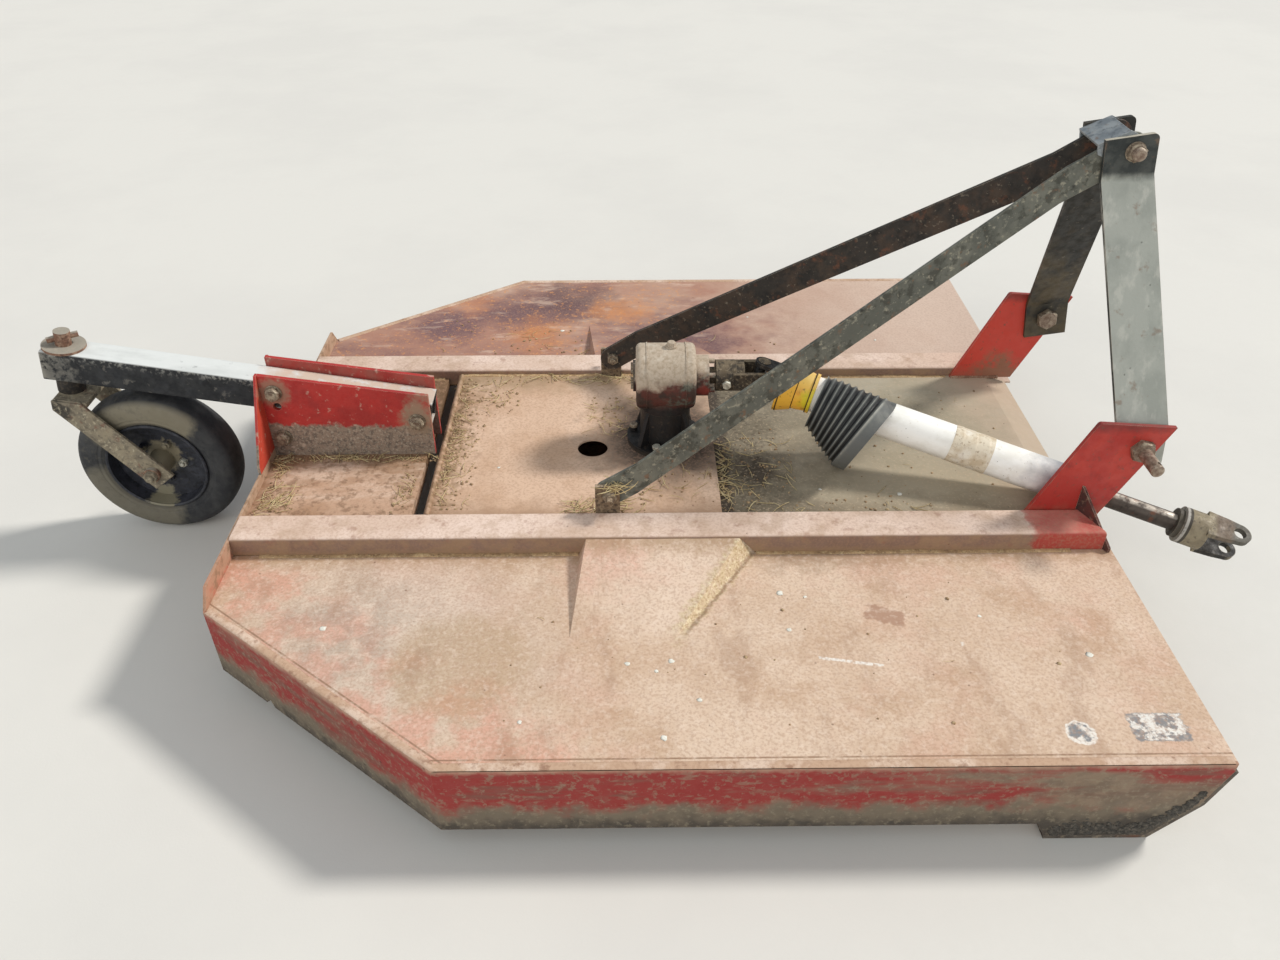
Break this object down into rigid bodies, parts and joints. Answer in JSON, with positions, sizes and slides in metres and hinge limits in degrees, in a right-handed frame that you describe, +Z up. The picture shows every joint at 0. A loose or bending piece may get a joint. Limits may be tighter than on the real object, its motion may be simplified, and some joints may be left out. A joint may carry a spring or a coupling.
{
  "type": "rotary mower",
  "caption": "Three-point rotary mower: pressed deck with channel rails, A-frame mast, driveshaft to a central gearbox, swinging blades and a trailing caster wheel on a square boom.",
  "frame": {"origin": "on the ground, at the middle of the bounding box in plan", "axes": "+X is the direction of travel, +Y the mower's left side, +Z up"},
  "size_m": [2.7128, 1.93, 1.003],
  "materials": {
    "deck_paint": "faded red paint under dust and rust",
    "rail_paint": "faded red paint under dust",
    "band_paint": "red paint with rust",
    "lug_paint": "red paint",
    "mast_paint": "worn black paint",
    "boom_paint": "worn black paint under dust",
    "rim_paint": "black paint, dusty",
    "bare_steel": "bare steel with light rust",
    "worn_steel": "worn rusty steel",
    "rusty_steel": "rusty steel",
    "yoke_steel": "oily forged steel",
    "gearbox_iron": "dusty cast iron",
    "guard_yellow": "yellow plastic",
    "guard_black": "black plastic",
    "guard_white": "white plastic",
    "tyre": "dusty black rubber"
  },
  "bodies": {
    "frame": {"side_sheet_right": "deck_paint", "side_sheet_left": "deck_paint", "rear_bay_plate": "deck_paint", "centre_plate": "deck_paint", "front_plate": "deck_paint", "rail_right": "rail_paint", "rail_left": "rail_paint", "side_band_right": "band_paint", "side_band_left": "band_paint", "rear_band": "band_paint", "skid_right": "worn_steel", "skid_left": "worn_steel", "hitch_lug_right": "lug_paint", "hitch_lug_left": "lug_paint", "lug_gusset_right": "lug_paint", "lug_gusset_left": "lug_paint", "hitch_pin_right": "bare_steel", "hitch_pin_left": "bare_steel", "mast_bar_right": "mast_paint", "mast_bar_left": "mast_paint", "top_link_bracket": "mast_paint", "top_bolt": "bare_steel", "brace_right": "mast_paint", "brace_left": "mast_paint", "brace_foot_right": "rusty_steel", "brace_foot_left": "rusty_steel", "gearbox_housing": "gearbox_iron", "gearbox_stand": "gearbox_iron", "input_yoke": "yoke_steel", "tail_bracket_right": "lug_paint", "tail_bracket_left": "lug_paint", "tail_gusset_right": "lug_paint", "tail_gusset_left": "lug_paint", "tail_boom": "boom_paint", "boom_bolts": "bare_steel"},
    "rotor": {"rotor_pan": "rusty_steel", "blade_bolts": "rusty_steel"},
    "blade_a": {"blade_a": "worn_steel"},
    "blade_b": {"blade_b": "worn_steel"},
    "caster": {"caster_pin": "rusty_steel", "caster_crown": "boom_paint", "fork_arm_right": "boom_paint", "fork_arm_left": "boom_paint", "wheel_axle": "bare_steel"},
    "wheel": {"tail_tyre": "tyre", "tail_rim": "rim_paint"},
    "cross": {"pto_cross": "yoke_steel"},
    "driveshaft": {"outer_yoke": "yoke_steel", "guard_collar": "guard_yellow", "guard_cone": "guard_black", "guard_tube": "guard_white"},
    "slip_shaft": {"profile_shaft": "bare_steel", "end_yoke": "yoke_steel"}
  },
  "joints": [
    {"name": "rotor_spin", "type": "hinge", "parent": "frame", "child": "rotor", "pos_m": [0.086, 0, 0.2], "axis": [0, 0, 1], "continuous": true},
    {"name": "blade_a_swing", "type": "hinge", "parent": "rotor", "child": "blade_a", "pos_m": [0.086, -0.181, 0.102], "axis": [0, 0, 1], "range_deg": [-90, 90]},
    {"name": "blade_b_swing", "type": "hinge", "parent": "rotor", "child": "blade_b", "pos_m": [0.086, 0.181, 0.102], "axis": [0, 0, 1], "range_deg": [-90, 90]},
    {"name": "caster_swivel", "type": "hinge", "parent": "frame", "child": "caster", "pos_m": [-1.298, 0, 0.5082], "axis": [0.1678, 0, 0.9858], "continuous": true},
    {"name": "tail_wheel_spin", "type": "hinge", "parent": "caster", "child": "wheel", "pos_m": [-1.16, 0, 0.193], "axis": [0, 1, 0], "continuous": true},
    {"name": "pto_lift", "type": "hinge", "parent": "frame", "child": "cross", "pos_m": [0.31, 0, 0.42], "axis": [0, -1, 0], "range_deg": [0, 4.6]},
    {"name": "pto_yaw", "type": "hinge", "parent": "cross", "child": "driveshaft", "pos_m": [0.31, 0, 0.42], "axis": [0.2097, 0, 0.9778], "range_deg": [0, 39]},
    {"name": "pto_slide", "type": "slide", "parent": "driveshaft", "child": "slip_shaft", "axis": [0.9217, -0.3337, -0.1977], "range_m": [-0.05, 0.15]}
  ]
}
